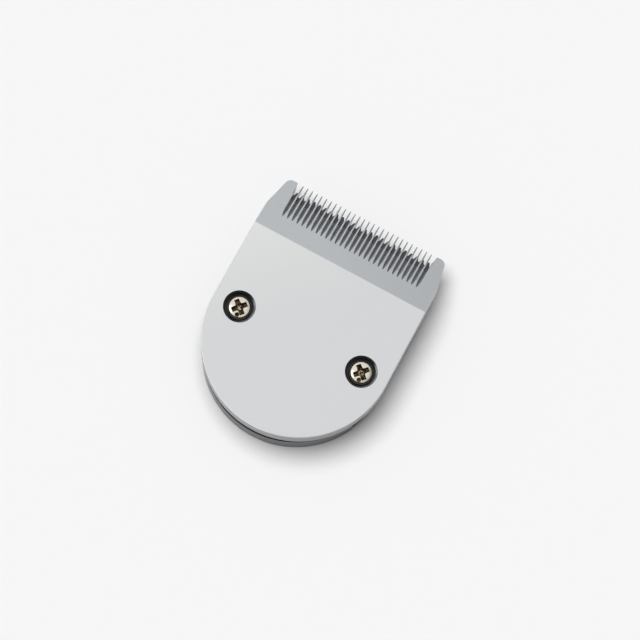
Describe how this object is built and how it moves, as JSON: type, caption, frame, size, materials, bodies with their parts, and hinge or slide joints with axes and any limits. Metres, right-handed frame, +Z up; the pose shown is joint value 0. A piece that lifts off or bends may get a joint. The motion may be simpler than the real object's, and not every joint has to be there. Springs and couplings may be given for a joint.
{
  "type": "hair clipper blade",
  "caption": "Hair clipper blade set: round-ended steel comb plate with a ground bevel and fine teeth, screwed to a black holder over a sliding toothed cutter with drive yoke and strip spring.",
  "frame": {"origin": "on the resting plane, under the centre of the round rear end, in the mouth of the socket for the clipper head", "axes": "+Y towards the tooth tips, +X across the teeth along the cutter's slide, +Z up through the comb plate"},
  "size_m": [0.0358, 0.0449, 0.0103],
  "materials": {
    "comb_steel": "satin ground",
    "screw_nickel": "nickel plated",
    "cutter_steel": "ground",
    "yoke_plastic": "moulded acetal",
    "spring_steel": "rolled strip",
    "holder_plastic": "moulded ABS",
    "band_plastic": "satin moulded ABS"
  },
  "bodies": {
    "base": {"fixed_comb": "comb_steel", "plate_screws": "screw_nickel", "tension_spring": "spring_steel", "blade_holder": "holder_plastic", "rear_band": "band_plastic"},
    "cutter": {"moving_cutter": "cutter_steel", "drive_yoke": "yoke_plastic"}
  },
  "joints": [
    {"name": "cutter_slide", "type": "slide", "parent": "base", "child": "cutter", "axis": [1, 0, 0], "range_m": [-0.0014, 0.0014]}
  ]
}
